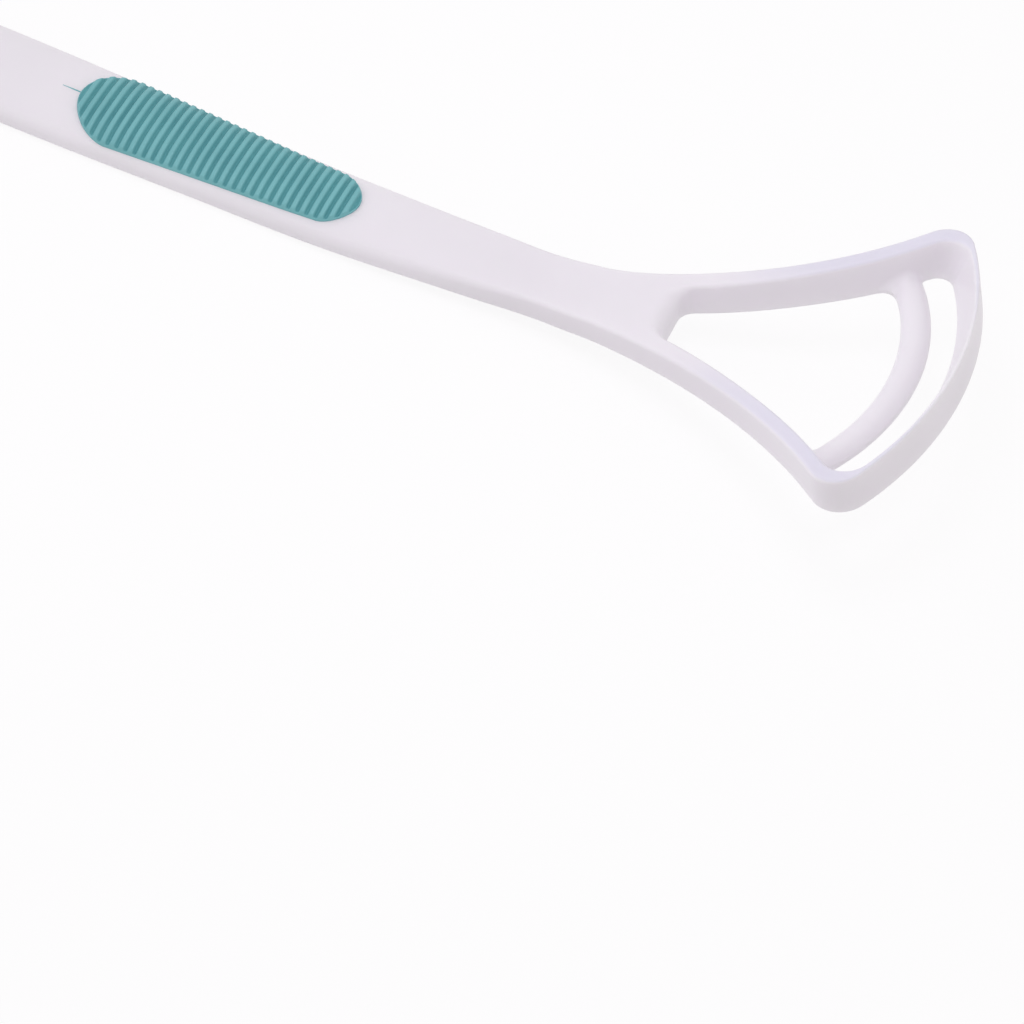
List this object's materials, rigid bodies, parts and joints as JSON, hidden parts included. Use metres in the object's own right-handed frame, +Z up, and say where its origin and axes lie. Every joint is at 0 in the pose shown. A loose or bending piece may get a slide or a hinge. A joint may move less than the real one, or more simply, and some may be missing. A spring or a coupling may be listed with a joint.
{
  "type": "tongue scraper",
  "caption": "Flat hand tool with a ribbed grip pad, a slender neck and a fan-shaped open head that holds a round bar and a thin curved scraping blade.",
  "frame": {"origin": "under the middle of the tool's length and width, at the level of the grip's flat underside", "axes": "+X from the tail to the head, +Y to the left seen from the tail, +Z up from the underside to the pad"},
  "size_m": [0.1651, 0.0412, 0.0184],
  "materials": {
    "white_moulding": "glossy moulded polypropylene with softly rounded edges",
    "teal_pad": "satin thermoplastic elastomer with cross ribs"
  },
  "bodies": {
    "root": {"body": "white_moulding", "grip_pad": "teal_pad"}
  },
  "joints": []
}
